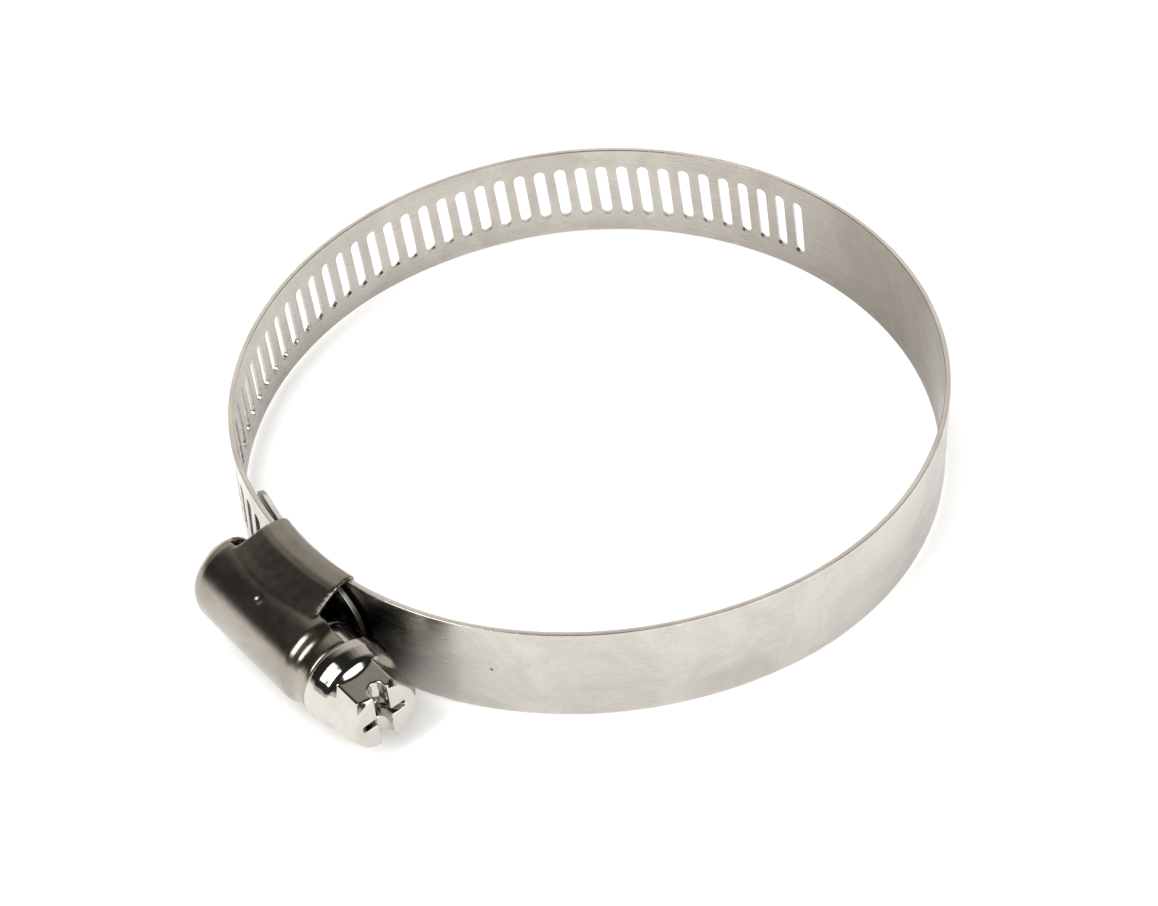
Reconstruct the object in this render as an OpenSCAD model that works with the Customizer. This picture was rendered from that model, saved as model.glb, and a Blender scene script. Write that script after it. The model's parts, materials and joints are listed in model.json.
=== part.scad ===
// Worm-drive hose clamp, three inch bore, half inch band.
// Origin at the centre of the round part of the bore, half way up the band.
// +Z runs along the bore, the screw lies along X on the -Y side, head towards +X.
// The spring band is drawn as short rigid lengths, so that it can close as it is tightened.

/* [Band] */
// Inner radius of the round part of the loop
bore_r = 38.1; // [38:0.05:38.2]
// Width of the band along the bore
band_w = 12.7; // [12.6:0.05:12.7]
// Thickness of the band
band_t = 0.6; // [0.5:0.01:0.6]
// Gap between neighbouring band lengths
joint_gap = 0.05; // [0.04:0.01:0.08]

/* [Slots] */
// Distance from one slot to the next, the same as the lead of the screw
slot_pitch = 2.54; // [2.53:0.01:2.55]
// Length of a slot across the band
slot_l = 7.5; // [7:0.1:8]
// Width of a slot along the band
slot_w = 1.35; // [1.3:0.05:1.45]
// Slant of the slots
slot_slant = 6; // [5:0.5:7]
// Number of slots
slot_count = 49; // [40:1:49]

/* [Screw] */
// Distance of the screw axis from the centre of the bore
screw_y = 46.35; // [46.3:0.01:46.4]
// Outer radius of the thread
thread_r = 4.4; // [4.3:0.02:4.44]
// Depth of the thread
thread_h = 1.1; // [1:0.05:1.2]
// Size of the hexagon across its flats
hex_af = 7.94; // [7.8:0.02:8]
// Radius of the collar behind the hexagon
collar_r = 5.2; // [5:0.05:5.3]

/* [Housing] */
// Outer radius of the barrel around the screw
barrel_r = 5.6; // [5.5:0.05:5.7]
// Thickness of the pressed sheet
sheet_t = 0.8; // [0.7:0.05:0.85]

/* [Hidden] */
$fn = 96;
// Inner radius and angle of each band length, from the fixed end round to the tail
rad_r = [33.904, 36.395, 41.663, 45.053];
rad_a = [16.943, 21.055, 20.701, 22.2];
round_n = 6;
round_start = -9.1;
round_a = 27.4;
end_r = [45.17, 40.768, 41.167, 33.172, 45.99];
end_a = [20.998, 23.285, 27.093, 29.423, 13.9];
last = len(rad_r) + round_n + len(end_r) - 1;
first_round = len(rad_r);
tongue_a = 23.5;
tail_past = 11.4;
// Bend of the channel through the housing, and its two curved walls
channel_y = -6.1;
channel_in = 35.03;
channel_out = 36.78;
wing_from = -8.2;
wing_to = 11;
barrel_from = -8.4;
barrel_to = 12.2;
journal_x = 9.2;
bore_in = 4.75;
journal_r = 4.46;
pilot_r = 2.7;
running = 0.1;
collar_x = 12.3;
hex_x = 15.2;
head_x = 19.46;
tip_x = -9.8;
cap_x = -8.75;
cap_r = 3.5;
root_r = thread_r - thread_h;
thread_from = -6.2;
thread_to = 8.9;
crest_a = 97;
flank_a = 47;
thread_turn = 90 - crest_a / 2 + 360 * thread_from / slot_pitch;
hex_turn = 37;
recess_turn = 3;
wing_z = 7;
hook_t = 0.55;
hook_z = 3.8;
mouth_x = 6.9;
mouth_y = 45.5;
notch_x = -5.9;
notch_y = 46.5;
drive_slot = 1.8;
slot_depth = 1.6;
drive_cross = 0.95;
cross_r = 2.8;
cross_depth = 2.6;

function pick_r(i) = i < first_round ? rad_r[i]
    : i < first_round + round_n ? bore_r
    : end_r[i - first_round - round_n];
function pick_a(i) = i < first_round ? rad_a[i]
    : i < first_round + round_n ? round_a
    : end_a[i - first_round - round_n];
// A frame is [x, y, heading]; walk moves it along an arc on the inner face of the band
function walk(p, r, a) = [
    p[0] - r * sin(p[2]) + r * sin(p[2] + a),
    p[1] + r * cos(p[2]) - r * cos(p[2] + a),
    p[2] + a
];
round_frame = [bore_r * cos(round_start), bore_r * sin(round_start), round_start + 90];
function frame_at(i) = i == first_round ? round_frame
    : i > first_round ? walk(frame_at(i - 1), pick_r(i - 1), pick_a(i - 1))
    : walk(frame_at(i + 1), pick_r(i), -pick_a(i));
// Distance along the middle of the band from the start of length i to the end of the tail arc
function run_from(i) = i > last ? 0
    : (pick_r(i) + band_t / 2) * pick_a(i) * PI / 180 + run_from(i + 1);

// Distances are counted back along the band from the point under the middle of the screw
function run_to(i) = i == last ? -20 : run_from(i + 1);

// Places children at frame p with the centre of curvature r to the left of the heading
module on_arc(p, r) {
    translate([p[0] - r * sin(p[2]), p[1] + r * cos(p[2]), 0])
        rotate([0, 0, p[2] - 90])
            children();
}

module arc_strip(r, from, to) {
    rotate([0, 0, from])
        rotate_extrude(angle = to - from)
            translate([r, -band_w / 2])
                square([band_t, band_w]);
}

module slot_cut(r, a) {
    rotate([0, 0, a])
        translate([r + band_t / 2, 0, 0])
            rotate([-slot_slant, 0, 0])
                union() {
                    cube([3 * band_t, slot_w, slot_l - slot_w], center = true);
                    for (s = [-1, 1])
                        translate([0, 0, s * (slot_l - slot_w) / 2])
                            rotate([0, 90, 0])
                                cylinder(h = 3 * band_t, d = slot_w, center = true, $fn = 24);
                }
}

// Slot 0 meets the thread under the middle of the screw
module slots(i) {
    r = pick_r(i);
    per = 180 / (PI * (r + band_t / 2));
    for (k = [-2 : slot_count - 3]) {
        d = k * slot_pitch;
        if (d < run_from(i) + slot_w && d > run_to(i) - slot_w)
            slot_cut(r, (run_from(i) - d) * per);
    }
}

// Strip with a full round tip; turn is +1 for a tip at the far end, -1 at the near end
module tipped_strip(r, flat, tip, turn) {
    shoulder = tip - turn * asin(band_w / 2 / r);
    intersection() {
        arc_strip(r, min(flat, tip), max(flat, tip));
        rotate([0, 0, shoulder])
            translate([r, 0, 0])
                union() {
                    rotate([0, 90, 0])
                        cylinder(h = 8 * band_t, r = band_w / 2, center = true);
                    translate([0, -turn * band_w, 0])
                        cube([2 * band_w, 2 * band_w, band_w + 1], center = true);
                }
    }
}

function half_gap(r) = joint_gap / 2 / r * 180 / PI;

// Plain end held in the housing, with its tongue inside the loop
module band_fixed_end() {
    r = pick_r(0);
    color("silver")
        on_arc(frame_at(0), r)
            tipped_strip(r, pick_a(0) - half_gap(r), -tongue_a, -1);
}

module band_length(i) {
    r = pick_r(i);
    color("silver")
        on_arc(frame_at(i), r)
            difference() {
                arc_strip(r, half_gap(r), pick_a(i) - half_gap(r));
                slots(i);
            }
}

// Slotted free end, which the screw pulls through the housing
module band_tail_end() {
    r = pick_r(last);
    color("silver")
        on_arc(frame_at(last), r)
            difference() {
                tipped_strip(r, half_gap(r), pick_a(last) + tail_past, 1);
                slots(last);
            }
}

// Turns a profile drawn as [distance along the screw, radius] about the screw axis
module around_screw() {
    translate([0, -screw_y, 0])
        rotate([0, 90, 0])
            rotate_extrude()
                rotate([0, 0, 90])
                    mirror([0, 1])
                        children();
}

// Half profile of the guide as [radius, height]; its shoulder slopes down onto the barrel
function guide_outside(s) = [
    [channel_in - hook_t, s * (wing_z - 1.1)], [channel_in - hook_t + 0.15, s * (wing_z - 0.55)],
    [channel_in - hook_t + 0.55, s * (wing_z - 0.15)], [channel_in - hook_t + 1.1, s * wing_z],
    [37.2, s * wing_z], [38, s * (wing_z - 0.15)], [40.25, s * 5.95], [41.4, s * 5.55], [42.1, s * 5.2]
];
function guide_inside(s) = [
    [channel_in, s * 6.4], [37.2, s * 6.4], [38.6, s * 5.85], [39.9, s * 5.3]
];
function backwards(v) = [for (i = [len(v) - 1 : -1 : 0]) v[i]];

// Spins children about the centre line of the curved channel
module along_channel(from, to) {
    translate([0, channel_y, 0])
        rotate([0, 0, from - 90])
            rotate_extrude(angle = to - from)
                children();
}

module barrel() {
    difference() {
        around_screw()
            polygon([[barrel_from, 0], [barrel_from, barrel_r - 1.2], [barrel_from + 0.3, barrel_r - 0.6],
                [barrel_from + 0.9, barrel_r - 0.2], [barrel_from + 1.7, barrel_r],
                [journal_x - 0.4, barrel_r], [journal_x + 0.1, barrel_r - 0.15],
                [journal_x + 0.7, barrel_r - 0.5], [journal_x + 1.2, barrel_r - 0.6],
                [barrel_to - 0.4, barrel_r - 0.5], [barrel_to, barrel_r - 0.6], [barrel_to, 0]]);
        translate([0, channel_y, 0])
            cylinder(h = 30, r = channel_out + 0.03, center = true);
        translate([mouth_x, -mouth_y, -wing_z])
            cube([20, 20, 2 * wing_z]);
        translate([notch_x - 20, -notch_y, -wing_z])
            cube([20, 20, 2 * wing_z]);
    }
}

// Pressed from one sheet: a barrel for the screw on a saddle with hooks around the band
module housing() {
    color("darkgray")
        difference() {
            union() {
                along_channel(wing_from, wing_to)
                    polygon(concat(guide_outside(1), backwards(guide_outside(-1))));
                barrel();
            }
            along_channel(wing_from - 1.2, wing_to + 3)
                polygon(concat(guide_inside(1), backwards(guide_inside(-1))));
            along_channel(wing_from - 3, wing_to + 3)
                translate([channel_in - 2 * sheet_t, -hook_z])
                    square([3 * sheet_t, 2 * hook_z]);
            around_screw()
                polygon([[barrel_from - 1, 0], [barrel_from - 1, pilot_r + running],
                    [barrel_from + 1, pilot_r + running], [barrel_from + 1, bore_in],
                    [journal_x, bore_in], [journal_x, journal_r + running],
                    [barrel_to + 1, journal_r + running], [barrel_to + 1, 0]]);
            dimple();
        }
}

// Shallow press mark on the upper flank of the barrel
module dimple() {
    translate([1.4, -screw_y, 0])
        rotate([118, 0, 0])
            translate([0, barrel_r + 0.85, 0])
                sphere(r = 1, $fn = 48);
}

// One turn of the thread reaches from the root to the crest and back within the pitch
function thread_at(a) = a < crest_a ? thread_r
    : a < crest_a + flank_a ? thread_r - thread_h * (a - crest_a) / flank_a
    : a < 360 - flank_a ? thread_r - thread_h
    : thread_r - thread_h * (360 - a) / flank_a;

module thread() {
    turns = (thread_to - thread_from) / slot_pitch;
    translate([thread_from, -screw_y, 0])
        rotate([0, 90, 0])
            rotate([0, 0, thread_turn])
                linear_extrude(height = thread_to - thread_from, twist = -360 * turns,
                    slices = ceil(18 * turns), $fn = 18)
                    polygon([for (a = [0 : 16 : 344]) [thread_at(a) * cos(a), thread_at(a) * sin(a)]]);
}

module hex_prism() {
    translate([hex_x - 0.2, -screw_y, 0])
        rotate([0, 90, 0])
            rotate([0, 0, hex_turn])
                cylinder(h = head_x - hex_x + 0.2, d = hex_af / cos(30), $fn = 6);
}

// Slot with a round bottom across the whole head, crossed by two short tapering arms
module recess() {
    side = slot_depth - drive_slot / 2;
    translate([head_x, -screw_y, 0])
        rotate([recess_turn, 0, 0])
            union() {
                cube([2 * side, drive_slot, 2 * hex_af], center = true);
                translate([-side, 0, 0])
                    cylinder(h = 2 * hex_af, d = drive_slot, center = true, $fn = 32);
                intersection() {
                    rotate([0, -90, 0])
                        cylinder(h = cross_depth, r1 = cross_r, r2 = 1);
                    union() {
                        cube([2 * cross_depth, drive_cross, 2 * cross_r], center = true);
                        cube([2 * cross_depth, 2 * cross_r, drive_cross], center = true);
                    }
                }
            }
}

// Turned in one piece: peened end, pilot, thread, journal, collar and hexagon
module screw() {
    color("lightgray")
        union() {
            around_screw()
                polygon([[tip_x, 0], [tip_x, cap_r - 0.9], [tip_x + 0.15, cap_r - 0.4],
                    [tip_x + 0.5, cap_r], [cap_x, cap_r], [cap_x, pilot_r],
                    [thread_from + 0.15, pilot_r], [thread_from + 0.15, root_r - 0.15],
                    [thread_to - 0.15, root_r - 0.15], [thread_to - 0.15, journal_r],
                    [collar_x, journal_r], [collar_x, collar_r], [collar_x + 1.1, collar_r],
                    [hex_x - 0.4, collar_r - 0.3], [hex_x, collar_r - 0.5],
                    [hex_x + 0.9, hex_af / 2 - 0.15], [hex_x + 0.9, 0]]);
            difference() {
                intersection() {
                    hex_prism();
                    around_screw()
                        polygon([[hex_x - 1, 0], [hex_x - 1, 6], [head_x - 1.2, 6],
                            [head_x - 0.5, hex_af * 0.56], [head_x, hex_af * 0.48], [head_x, 0]]);
                }
                recess();
            }
            thread();
        }
}

band_fixed_end();
band_length(1);  // band_length_01
band_length(2);  // band_length_02
band_length(3);  // band_length_03
band_length(4);  // band_length_04
band_length(5);  // band_length_05
band_length(6);  // band_length_06
band_length(7);  // band_length_07
band_length(8);  // band_length_08
band_length(9);  // band_length_09
band_length(10);  // band_length_10
band_length(11);  // band_length_11
band_length(12);  // band_length_12
band_length(13);  // band_length_13
band_tail_end();
housing();
screw();
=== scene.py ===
import json
import math

import bpy
import numpy as np
from mathutils import Matrix, Vector


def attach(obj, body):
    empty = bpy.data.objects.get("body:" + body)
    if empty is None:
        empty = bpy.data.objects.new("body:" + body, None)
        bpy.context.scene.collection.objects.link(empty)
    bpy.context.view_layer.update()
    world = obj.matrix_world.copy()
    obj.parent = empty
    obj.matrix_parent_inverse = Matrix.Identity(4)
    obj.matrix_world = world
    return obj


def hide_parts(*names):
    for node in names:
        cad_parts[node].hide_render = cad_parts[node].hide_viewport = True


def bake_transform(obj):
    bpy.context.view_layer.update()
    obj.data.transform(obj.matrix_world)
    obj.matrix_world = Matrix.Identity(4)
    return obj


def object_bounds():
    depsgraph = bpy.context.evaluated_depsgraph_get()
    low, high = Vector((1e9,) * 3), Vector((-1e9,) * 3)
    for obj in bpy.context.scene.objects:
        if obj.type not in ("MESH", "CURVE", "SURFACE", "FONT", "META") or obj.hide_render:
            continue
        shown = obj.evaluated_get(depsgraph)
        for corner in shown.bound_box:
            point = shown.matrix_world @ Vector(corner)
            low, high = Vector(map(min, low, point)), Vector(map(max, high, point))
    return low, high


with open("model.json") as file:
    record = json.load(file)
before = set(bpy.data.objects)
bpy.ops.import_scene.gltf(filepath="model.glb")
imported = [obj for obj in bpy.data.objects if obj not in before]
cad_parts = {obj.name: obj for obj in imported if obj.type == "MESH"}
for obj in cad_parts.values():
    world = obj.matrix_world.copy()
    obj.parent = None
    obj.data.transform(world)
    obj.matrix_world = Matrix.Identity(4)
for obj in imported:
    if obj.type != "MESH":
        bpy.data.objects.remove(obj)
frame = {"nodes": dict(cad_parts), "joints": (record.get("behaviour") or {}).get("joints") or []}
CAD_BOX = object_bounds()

# A worm-drive hose clamp. The housing and the screw are the CAD solids with a finer skin. The band is drawn
# here as one smooth strip, in sections that bend with its rigid CAD lengths. Values of the camera and the
# band are in millimetres, which MM turns into metres, and all others are in metres.
MM = 0.001

# ---------------------------------------------------------------- camera
VIEW_TURN = math.radians(52.36)  # about +Z, from looking along +Y
VIEW_DOWN = math.radians(45.52)
VIEW_ROLL = math.radians(-2.92)
VIEW_AWAY = 334.1
VIEW_AIM = (-3.35, -6.87, 0.0)  # in axes turned with the camera
SENSOR, LENS = 36.0, 92.4622


def turned(v, angle):
    c, s = math.cos(angle), math.sin(angle)
    return Vector((c * v[0] - s * v[1], s * v[0] + c * v[1], v[2]))


def make_camera():
    forward = turned((0, math.cos(VIEW_DOWN), -math.sin(VIEW_DOWN)), VIEW_TURN)
    right = turned((1, 0, 0), VIEW_TURN)
    up = right.cross(forward)
    c, s = math.cos(VIEW_ROLL), math.sin(VIEW_ROLL)
    right, up = c * right + s * up, c * up - s * right
    data = bpy.data.cameras.new("photo_view")
    data.sensor_width = SENSOR
    data.lens = LENS
    data.clip_start, data.clip_end = 0.01, 20.0
    camera = bpy.data.objects.new("photo_view", data)
    bpy.context.scene.collection.objects.link(camera)
    pose = Matrix((right, up, -forward)).transposed().to_4x4()
    pose.translation = (turned(VIEW_AIM, VIEW_TURN) - forward * VIEW_AWAY) * MM
    camera.matrix_world = pose
    bpy.context.scene.camera = camera


make_camera()
# The default transform greys the pale floor and flattens the contrast of the steel.
bpy.context.scene.view_settings.view_transform = "Standard"


# ---------------------------------------------------------------- materials
class Graph:
    """Makes shader nodes. A value given to a socket is set on it, and another node's output is linked."""

    def __init__(self, owner):
        owner.use_nodes = True
        self.nodes, self.links = owner.node_tree.nodes, owner.node_tree.links

    def join(self, value, socket):
        if isinstance(value, bpy.types.NodeSocket):
            self.links.new(value, socket)
        else:
            socket.default_value = value

    def add(self, kind, inputs=None, **settings):
        node = self.nodes.new("ShaderNode" + kind)
        for name, value in settings.items():
            setattr(node, name, value)
        for name, value in (inputs or {}).items():
            self.join(value, node.inputs[name])
        return node

    def math(self, operation, *values):
        return self.add("Math", dict(enumerate(values)), operation=operation).outputs[0]

    def vector_math(self, operation, a, b):
        return self.add("VectorMath", {0: a, 1: b}, operation=operation).outputs["Value"]

    def noise(self, point, scale, detail, roughness, distortion=0.0):
        inputs = {"Vector": point, "Scale": scale, "Detail": detail, "Roughness": roughness}
        return self.add("TexNoise", {**inputs, "Distortion": distortion}).outputs["Fac"]

    def ramp(self, value, start, end, low, high, shape="LINEAR"):
        """Low up to start, high from end, and between them in between."""
        inputs = {"Value": value, "From Min": start, "From Max": end, "To Min": low, "To Max": high}
        return self.add("MapRange", inputs, interpolation_type=shape).outputs["Result"]

    def mix(self, a, b, factor, blend="MIX"):
        node = self.add("Mix", data_type="RGBA", blend_type=blend)
        for name, value in (("A", a), ("B", b), ("Factor", factor)):
            self.join(value, node.inputs[name])
        return node.outputs["Result"]


LOOP_R = 0.039
# Noise cells to the metre. Rolled grain is drawn out along the band.
ROLLED_GRAIN = (55, 1, 5200)
PRESSED_GRAIN = (900, 900, 900)
STAINS, SPECKS = 120.0, 900.0
BUMP_DEPTH = 0.00002
RAGGED = 0.12  # how much a spot's border wanders, as a share of its width


def round_loop(graph, point):
    """Turns a point into its distance round the loop, nothing, and its height."""
    axes = graph.add("SeparateXYZ", {0: point}).outputs
    angle = graph.math("ARCTAN2", axes["Y"], axes["X"])
    run = graph.math("MULTIPLY", angle, LOOP_R)
    return graph.add("CombineXYZ", {"X": run, "Z": axes["Z"]}).outputs[0]


def face_masks(graph, point, normal):
    """One mask for each kind of face of the loop: towards the bore, away from it, and along its rims."""
    outward = graph.vector_math("DOT_PRODUCT", normal, point)
    inner = graph.ramp(outward, -0.012, 0.0, 1.0, 0.0)
    upright = graph.math("ABSOLUTE", graph.add("SeparateXYZ", {0: normal}).outputs["Z"])
    rim = graph.ramp(upright, 0.6, 0.9, 0.0, 1.0)
    return {"inner": inner, "outer": graph.math("SUBTRACT", 1.0, inner), "rim": rim}


def near_mask(graph, point, grain, place, near, far):
    """1 within near of the place and 0 beyond far, with a ragged border that follows the grain."""
    away = graph.vector_math("DISTANCE", point, place)
    wander = RAGGED * (far - near)
    ragged = graph.math("MULTIPLY_ADD", grain, wander, away)
    return graph.ramp(ragged, near, far + wander / 2, 1.0, 0.0, "SMOOTHSTEP")


def steel(name, tone, dark, roughness, bump, stain, rolled=False, tints=(), spots=()):
    """Bare steel with grain, stains towards the dark tone, brighter worn edges, and painted shade that
    darkens the hollows.

    Each tint is (faces, colour) and each spot is (faces, colour, place, near, far), with faces named as in
    face_masks."""
    mat = bpy.data.materials.new(name)
    graph = Graph(mat)
    bsdf = graph.nodes["Principled BSDF"].inputs
    coordinates = graph.add("TexCoord").outputs
    point = coordinates["Object"]
    grain_point = round_loop(graph, point) if rolled else point
    stretch = {"Vector": grain_point, "Scale": ROLLED_GRAIN if rolled else PRESSED_GRAIN}
    grain = graph.noise(graph.add("Mapping", stretch).outputs[0], 1.0, 5.0, 0.62)
    cloud = graph.noise(point, STAINS, 6.0, 0.62, distortion=0.8)
    speck = graph.noise(point, SPECKS, 2.0, 0.5)

    colour = graph.mix((*tone, 1), (*dark, 1), graph.ramp(cloud, 0.42, 0.78, 0.0, stain))
    streaks = graph.ramp(grain, 0.3, 0.7, 0.94, 1.04)
    colour = graph.mix(colour, streaks, 1.0, "MULTIPLY")
    # By pointiness: worn convex edges brighter, and painted shade darkening the hollows.
    pointiness = graph.add("NewGeometry").outputs["Pointiness"]
    edge_wear_and_hollow_shade = graph.ramp(pointiness, 0.42, 0.62, 0.72, 1.14)
    colour = graph.mix(colour, edge_wear_and_hollow_shade, 0.6, "MULTIPLY")
    masks = face_masks(graph, point, coordinates["Normal"])
    for faces, tint in tints:
        colour = graph.mix(colour, (*tint, 1), masks[faces], "MULTIPLY")
    for faces, tint, place, near, far in spots:
        mask = graph.math("MULTIPLY", near_mask(graph, point, grain, place, near, far), masks[faces])
        colour = graph.mix(colour, (*tint, 1), mask, "MULTIPLY")

    unevenness = graph.math("MULTIPLY_ADD", grain, 0.5, graph.math("MULTIPLY", cloud, 0.5))
    height = graph.math("MULTIPLY_ADD", speck, 0.35, grain)
    surface = graph.add("Bump", {"Strength": bump, "Distance": BUMP_DEPTH, "Height": height}).outputs[0]
    graph.join(1.0, bsdf["Metallic"])
    graph.join(colour, bsdf["Base Color"])
    graph.join(graph.ramp(unevenness, 0.3, 0.75, *roughness), bsdf["Roughness"])
    graph.join(surface, bsdf["Normal"])
    return mat


# Each is (faces, colour), and a spot's place and its near and far distance follow.
# Painted shade and reflection: the band's outer face beside the housing mouth is darkened to stand in for
# the housing's shadow and its dark reflection.
MOUTH_PAINTED_SHADE = ("outer", (0.10, 0.09, 0.08), (0.0085, -0.0412, -0.001), 0.003, 0.0085)
RUST_SPECK = ("outer", (0.20, 0.09, 0.05), (0.02187, -0.03411, 0.00016), 0.00005, 0.0003)
# Painted shade: a large darker patch on the inner face on one side of the bore, standing in for shade and
# darker reflection there.
INNER_PAINTED_SHADE_PATCH = ("inner", (0.43, 0.39, 0.35), (0.0233, 0.0302, 0.0), 0.004, 0.055)
# Painted shade: the whole inner face of the band is a little darker than the outer face.
BORE_PAINTED_SHADE = ("inner", (0.90, 0.89, 0.87))
# Partly the brighter sheared steel of the rims, partly painted light: the rims are lightened to stand in
# for light that their dark reflection does not give.
SHEARED_RIM_AND_PAINTED_LIGHT = ("rim", (1.55, 1.55, 1.57))

band_steel = steel("rolled_band_steel", tone=(0.50, 0.48, 0.45), dark=(0.29, 0.265, 0.235),
                   roughness=(0.20, 0.36), bump=0.3, stain=0.5, rolled=True,
                   tints=(BORE_PAINTED_SHADE, SHEARED_RIM_AND_PAINTED_LIGHT), spots=(MOUTH_PAINTED_SHADE, RUST_SPECK, INNER_PAINTED_SHADE_PATCH))
housing_steel = steel("pressed_housing_steel", tone=(0.31, 0.29, 0.255), dark=(0.17, 0.15, 0.12),
                      roughness=(0.17, 0.30), bump=0.3, stain=0.7)
screw_steel = steel("bright_plated_screw", tone=(0.51, 0.49, 0.455), dark=(0.39, 0.355, 0.30),
                    roughness=(0.07, 0.14), bump=0.04, stain=0.4)

# ---------------------------------------------------------------- band
THICK, WIDTH = 0.6, 12.7
BORE_R = 38.1
ROUND_FROM = -9.1  # degrees, where the true circle of the bore starts
# Inner radius and degrees of each band length, from the fixed end to the tail.
ARCS = [(33.904, 16.943), (36.395, 21.055), (41.663, 20.701), (45.053, 22.2)] + [(BORE_R, 27.4)] * 6
ARCS += [(45.17, 20.998), (40.768, 23.285), (41.167, 27.093), (33.172, 29.423), (45.99, 13.9)]
FIRST_ROUND = 4  # number of the first length on the true circle, counted from 0
TONGUE, TAIL = 23.5, 11.4  # degrees that the two tips run on past their arcs
PITCH, SLOT_LONG, SLOT_WIDE = 2.54, 7.5, 1.35
SLANT = 6.0  # degrees that a slot leans from straight across the band
SLOTS_BEFORE, SLOTS_AFTER = 46, 2  # slots on either side of the one at the end of the last arc
# How far a slot's rounded lip stands back from the slot, and how deep under the face.
LIP = ((0.16, 0.0), (0.035, 0.02), (0.0, 0.1))
BEVEL = 0.09
RADII = np.array([radius for radius, _ in ARCS])
TURNS = np.radians([degrees for _, degrees in ARCS])


def walk(start, radius, turn):
    """Follows an arc from (x, y, heading) and gives the same three at its end."""
    x, y, h = start
    dx = radius * (math.sin(h + turn) - math.sin(h))
    dy = radius * (math.cos(h) - math.cos(h + turn))
    return (x + dx, y + dy, h + turn)


def arc_starts():
    """Start of every arc, walked both ways from where the true circle starts."""
    a = math.radians(ROUND_FROM)
    starts = {FIRST_ROUND: (BORE_R * math.cos(a), BORE_R * math.sin(a), a + math.pi / 2)}
    for i in range(FIRST_ROUND, len(ARCS) - 1):
        starts[i + 1] = walk(starts[i], RADII[i], TURNS[i])
    for i in range(FIRST_ROUND - 1, -1, -1):
        starts[i] = walk(starts[i + 1], RADII[i], -TURNS[i])
    return np.array([starts[i] for i in range(len(ARCS))])


ARC_STARTS = arc_starts()
# Distance along the middle of the strip to the start of each arc, and to the end of the last one.
RUNS = np.concatenate([[0], np.cumsum((RADII + THICK / 2) * TURNS)])
END = RUNS[-1]
TONGUE_TIP = -math.radians(TONGUE) * (RADII[0] + THICK / 2)
TAIL_TIP = END + math.radians(TAIL) * (RADII[-1] + THICK / 2)


def bend(flat):
    """Places strip points (s along the band, z across it, t out from its inner face) on the loop.

    Gives their places in metres and the band's heading at each."""
    s, z, t = flat.T
    i = np.clip(np.searchsorted(RUNS, s, side="right") - 1, 0, len(ARCS) - 1)
    x, y, start = ARC_STARTS[i].T
    r = RADII[i]
    h = start + (s - RUNS[i]) / (r + THICK / 2)
    centre_x, centre_y = x - r * np.sin(start), y + r * np.cos(start)
    return np.stack([centre_x + (r + t) * np.sin(h), centre_y - (r + t) * np.cos(h), z], -1) * MM, h


def bend_normals(flat, h):
    s, z, t = flat.T
    return np.stack([s * np.cos(h) + t * np.sin(h), s * np.sin(h) - t * np.cos(h), z], -1)


def half_width(s):
    """Half the band's width at s, less at the two full round tips."""
    w = WIDTH / 2
    d = max(TONGUE_TIP + w - s, s - (TAIL_TIP - w), 0.0)
    return math.sqrt(max(w * w - d * d, 0.0))


class Strip:
    """Collects faces in strip coordinates, joined where their corners meet."""

    def __init__(self):
        self.index, self.verts, self.faces = {}, [], []

    def corner(self, s, z, t):
        key = (round(s, 4), round(z, 4), round(t, 4))
        if key not in self.index:
            self.index[key] = len(self.verts)
            self.verts.append((s, z, t))
        return self.index[key]

    def face(self, *points):
        ids = list(dict.fromkeys(self.corner(*p) for p in points))
        if len(ids) > 2:
            self.faces.append(ids)


ROWS, COLUMNS = 12, 4  # mesh rows across the slotted middle, and columns along one slot pitch
MIDDLE = 4.7  # half width of the slotted middle
MIDDLE_ROWS = [MIDDLE * (2 * j / ROWS - 1) for j in range(ROWS + 1)]
RIM_ROWS = [MIDDLE, 5.25, 5.8, WIDTH / 2 - 2 * BEVEL]
NARROWING = 5.3  # half width below which the middle rows close up


def squeeze(s, z):
    """Keeps row z inside the band at s, where the round tips narrow it."""
    w = half_width(s)
    share = min(1.0, w / NARROWING)
    inside = min(abs(z), MIDDLE) * share
    beyond = max(abs(z) - MIDDLE, 0) / (WIDTH / 2 - MIDDLE) * (w - MIDDLE * share)
    return math.copysign(inside + beyond, z)


def rim_section(s):
    """Outline of the upper rim at s, from the outer face over the rounded edge to the inner face."""
    edge = WIDTH / 2
    soft = (edge - 0.4 * BEVEL, 0.15 * BEVEL)
    loop = [(z, THICK) for z in RIM_ROWS] + [(soft[0], THICK - soft[1]), (edge, THICK - BEVEL)]
    loop += [(edge, BEVEL), soft] + [(z, 0.0) for z in reversed(RIM_ROWS)]
    return [(s, squeeze(s, z), t) for z, t in loop]


def mirrored(points):
    return [(s, -z, t) for s, z, t in points]


def add_rims(strip, s0, s1):
    a, b = rim_section(s0), rim_section(s1)
    low_a, low_b = mirrored(a), mirrored(b)
    for k in range(len(a) - 1):
        strip.face(a[k], b[k], b[k + 1], a[k + 1])
        strip.face(low_b[k], low_a[k], low_a[k + 1], low_b[k + 1])


def add_plain(strip, s0, s1):
    """Band without a slot from s0 to s1."""
    add_rims(strip, s0, s1)
    for z0, z1 in zip(MIDDLE_ROWS, MIDDLE_ROWS[1:]):
        corners = [(s0, z0), (s1, z0), (s1, z1), (s0, z1)]
        outer = [(s, squeeze(s, z), THICK) for s, z in corners]
        inner = [(s, squeeze(s, z), 0.0) for s, z in reversed(corners)]
        strip.face(*outer)
        strip.face(*inner)


def arc_points(radius, centre_z, degrees):
    angles = [math.radians(a) for a in degrees]
    return [(radius * math.cos(a), centre_z + radius * math.sin(a)) for a in angles]


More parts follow.
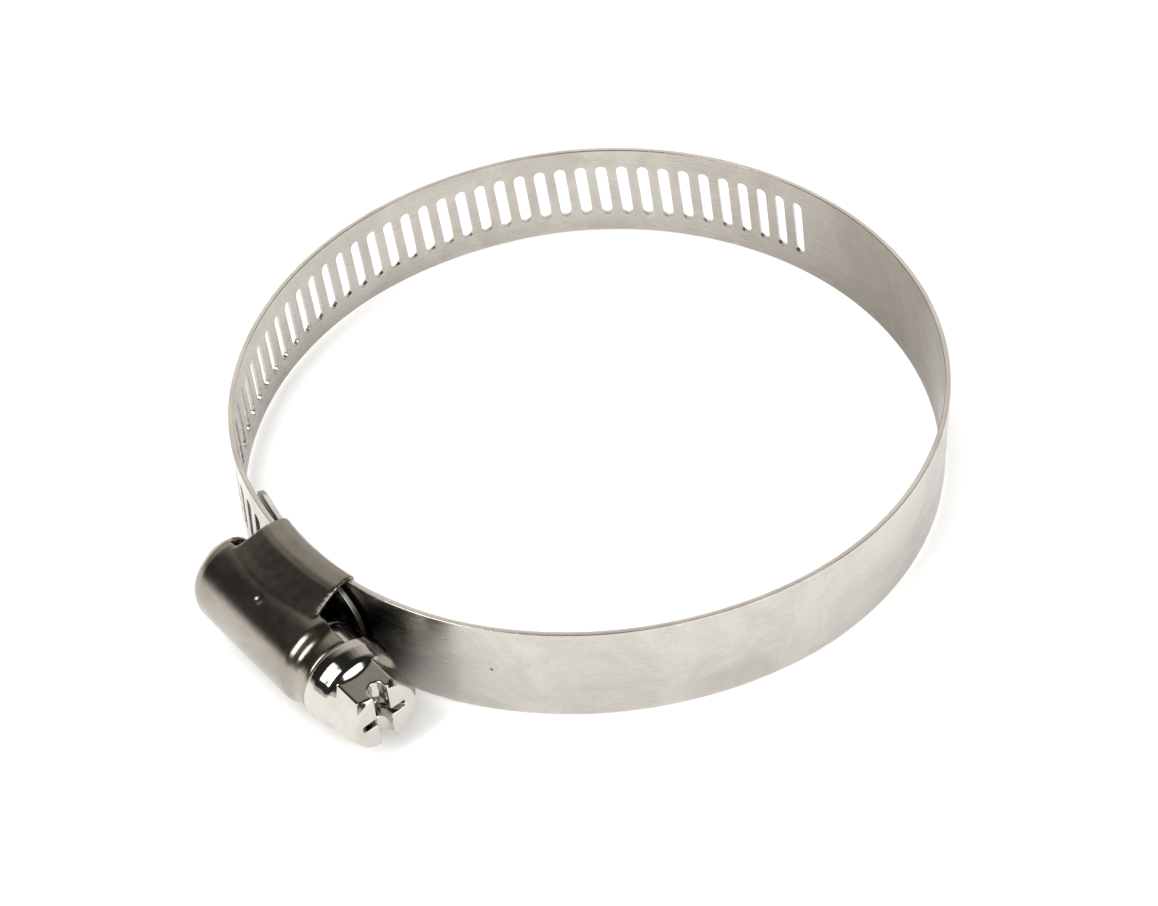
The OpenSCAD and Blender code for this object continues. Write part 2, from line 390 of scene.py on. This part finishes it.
def slot_outline(s, grow):
    """Slot outline from the lower end of its right side, anticlockwise, grown by grow."""
    r, half = SLOT_WIDE / 2 + grow, (SLOT_LONG - SLOT_WIDE) / 2
    side = [-half + 2 * half * k / (ROWS - 2) for k in range(ROWS - 1)]
    points = arc_points(r, -half, [-30]) + [(r, z) for z in side]
    points += arc_points(r, half, range(30, 151, 30)) + [(-r, -z) for z in side]
    points += arc_points(r, -half, range(210, 301, 30))
    c, q = math.cos(math.radians(SLANT)), math.sin(math.radians(SLANT))
    return [(s + c * x + q * z, c * z - q * x) for x, z in points]


def add_slotted(strip, s):
    """One slot pitch of band, with its slot at s."""
    columns = [s + PITCH * (k / COLUMNS - 0.5) for k in range(COLUMNS + 1)]
    for a, b in zip(columns, columns[1:]):
        add_rims(strip, a, b)
    inside = columns[1:-1]
    outline = [(columns[-1], z) for z in MIDDLE_ROWS] + [(x, MIDDLE) for x in reversed(inside)]
    outline += [(columns[0], z) for z in reversed(MIDDLE_ROWS)] + [(x, -MIDDLE) for x in inside]
    between = [((a + c) / 2, (b + d) / 2) for (a, b), (c, d) in zip(outline, slot_outline(s, LIP[0][0]))]
    lips = [(grow, THICK - depth) for grow, depth in LIP] + list(reversed(LIP))
    levels = [(outline, THICK), (between, THICK)] + [(slot_outline(s, grow), t) for grow, t in lips]
    levels += [(between, 0.0), (outline, 0.0)]
    rings = [[(x, z, t) for x, z in points] for points, t in levels]
    for a, b in zip(rings, rings[1:]):
        for k in range(len(a)):
            m = (k + 1) % len(a)
            strip.face(a[k], a[m], b[m], b[k])


def add_end(strip, s, flip):
    """Closes the strip across its tip at s."""
    edge = rim_section(s)[1:-1]
    loop = [(s, squeeze(s, z), THICK) for z in MIDDLE_ROWS] + edge
    loop += [(s, squeeze(s, z), 0.0) for z in reversed(MIDDLE_ROWS)] + mirrored(reversed(edge))
    strip.face(*(reversed(loop) if flip else loop))


def strip_object(name, strip):
    """Bends a strip into the loop, with normals taken from the flat strip so that its sections match."""
    flat = np.array(strip.verts)
    normals = np.zeros_like(flat)
    for ids in strip.faces:
        p = flat[ids]
        fan = [np.cross(p[k] - p[0], p[k + 1] - p[0]) for k in range(1, len(p) - 1)]
        for k in ids:
            normals[k] += sum(fan)
    normals /= np.maximum(np.linalg.norm(normals, axis=1, keepdims=True), 1e-12)
    places, headings = bend(flat)
    mesh = bpy.data.meshes.new(name)
    mesh.from_pydata([tuple(p) for p in places], [], strip.faces)
    mesh.polygons.foreach_set("use_smooth", [True] * len(mesh.polygons))
    mesh.update()
    mesh.normals_split_custom_set_from_vertices([tuple(n) for n in bend_normals(normals, headings)])
    obj = bpy.data.objects.new(name, mesh)
    bpy.context.scene.collection.objects.link(obj)
    return obj


# Degrees round the two tips at which the mesh has a column, 90 being the very end.
TONGUE_MARKS = range(88, -1, -8)
TAIL_MARKS = (38, 44, 50, 56, 64, 72, 80, 88)


def cells():
    """Every cell from tongue to tail: (from, to, True where it holds a slot)."""
    w = WIDTH / 2
    tongue = [TONGUE_TIP + w - w * math.sin(math.radians(a)) for a in TONGUE_MARKS]
    first_slot = END - (SLOTS_BEFORE + 0.5) * PITCH
    count = round((first_slot - tongue[-1]) / (PITCH / COLUMNS))
    plain = np.linspace(tongue[-1], first_slot, count + 1)
    slots = [(END - (k + 0.5) * PITCH, END - (k - 0.5) * PITCH, True)
             for k in range(SLOTS_BEFORE, -SLOTS_AFTER - 1, -1)]
    tail = [END + (SLOTS_AFTER + 0.5) * PITCH]
    tail += [TAIL_TIP - w + w * math.sin(math.radians(a)) for a in TAIL_MARKS]
    before = [(a, b, False) for marks in (tongue, plain) for a, b in zip(marks, marks[1:])]
    return before + slots + [(a, b, False) for a, b in zip(tail, tail[1:])]


def make_band():
    """The band in sections from the middle of one CAD length to the middle of the next."""
    joints = {j["name"]: j for j in frame["joints"]}
    bodies = ["housing"] + [joints["band_bend_%02d" % k]["child"] for k in range(1, len(ARCS))]
    lengths = ["band_fixed_end"] + ["band_length_%02d" % k for k in range(1, len(ARCS) - 1)]
    lengths.append("band_tail_end")
    all_cells = cells()
    edges = np.array([a for a, _, _ in all_cells])
    middles = (RUNS[:-1] + RUNS[1:]) / 2
    cuts = [-math.inf] + [edges[np.argmin(abs(edges - m))] for m in middles] + [math.inf]
    last = len(cuts) - 2
    for k in range(last + 1):
        strip = Strip()
        mine = [c for c in all_cells if cuts[k] <= c[0] < cuts[k + 1]]
        for a, b, slotted in mine:
            if slotted:
                add_slotted(strip, (a + b) / 2)
            else:
                add_plain(strip, a, b)
        first_s, last_s = mine[0][0], mine[-1][1]
        if k == 0:
            add_end(strip, first_s, False)
        if k == last:
            add_end(strip, last_s, True)
        obj = strip_object("band_part_%02d" % (k + 1), strip)
        obj.data.materials.append(band_steel)
        if k < last:
            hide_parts(lengths[k])
        if k == 0:
            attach(obj, "housing")
        elif k == last:
            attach(obj, bodies[-1])
        else:
            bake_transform(obj)


make_band()


# ---------------------------------------------------------------- housing and screw
def finish_node(name, mat, voxel, passes):
    """Gives a CAD node its material, and softens its edges with a fine skin."""
    obj = frame["nodes"][name]
    obj.data.materials.clear()
    obj.data.materials.append(mat)
    skin = obj.modifiers.new("skin", "REMESH")
    skin.mode = "VOXEL"
    skin.voxel_size = voxel
    skin.use_smooth_shade = True
    soften = obj.modifiers.new("soften", "SMOOTH")
    soften.factor, soften.iterations = 0.5, passes


finish_node("housing", housing_steel, voxel=0.00012, passes=13)
finish_node("screw", screw_steel, voxel=0.0001, passes=7)

# ---------------------------------------------------------------- floor and light
FLOOR_SIZE = 3.0


def make_floor():
    mat = bpy.data.materials.new("pale_floor")
    bsdf = Graph(mat).nodes["Principled BSDF"].inputs
    bsdf["Base Color"].default_value = (0.93, 0.93, 0.925, 1)
    bsdf["Roughness"].default_value = 0.85
    bsdf["Specular IOR Level"].default_value = 0.2
    h = FLOOR_SIZE / 2
    mesh = bpy.data.meshes.new("floor")
    mesh.from_pydata([(-h, -h, 0), (h, -h, 0), (h, h, 0), (-h, h, 0)], [], [(0, 1, 2, 3)])
    mesh.materials.append(mat)
    floor = bpy.data.objects.new("floor", mesh)
    bpy.context.scene.collection.objects.link(floor)
    floor.location = (0, 0, CAD_BOX[0][2])


def make_room():
    """A dark room with one bright wall for the steel to mirror, pale all round just above the floor."""
    world = bpy.data.worlds.new("studio")
    bpy.context.scene.world = world
    graph = Graph(world)
    direction = graph.add("TexCoord").outputs["Generated"]
    to_wall = graph.vector_math("DOT_PRODUCT", direction, (-0.79, 0.61, 0.0))
    height = graph.add("SeparateXYZ", {0: direction}).outputs["Z"]
    dark, bright, pale = (0.035, 0.034, 0.03, 1), (0.98, 0.93, 0.86, 1), (0.95, 0.95, 0.95, 1)
    room = graph.mix(dark, bright, graph.ramp(to_wall, 0.28, 0.8, 0.0, 1.0, "SMOOTHSTEP"))
    room = graph.mix(room, pale, graph.ramp(height, 0.06, 0.16, 1.0, 0.0, "SMOOTHSTEP"))
    graph.join(room, graph.nodes["Background"].inputs["Color"])


def softbox(name, place, size, power, tint=(1, 1, 1), mirrored_in_steel=True):
    """A rectangular light aimed at the centre of the bore."""
    light = bpy.data.lights.new(name, "AREA")
    light.shape = "RECTANGLE"
    light.size, light.size_y = size
    light.energy = power
    light.color = tint
    obj = bpy.data.objects.new(name, light)
    bpy.context.scene.collection.objects.link(obj)
    obj.location = place
    obj.rotation_euler = (-Vector(place)).to_track_quat("-Z", "Y").to_euler()
    obj.visible_glossy = mirrored_in_steel


make_floor()
make_room()
softbox("overhead", place=(0.0, -0.1, 0.8), size=(1.7, 1.7), power=16.5, mirrored_in_steel=False)
softbox("key", place=(0.0, -0.47, 0.5), size=(0.24, 0.52), power=2.8, tint=(1, 0.98, 0.95))
softbox("side", place=(0.5, 0.03, 0.24), size=(0.45, 0.4), power=1.6)
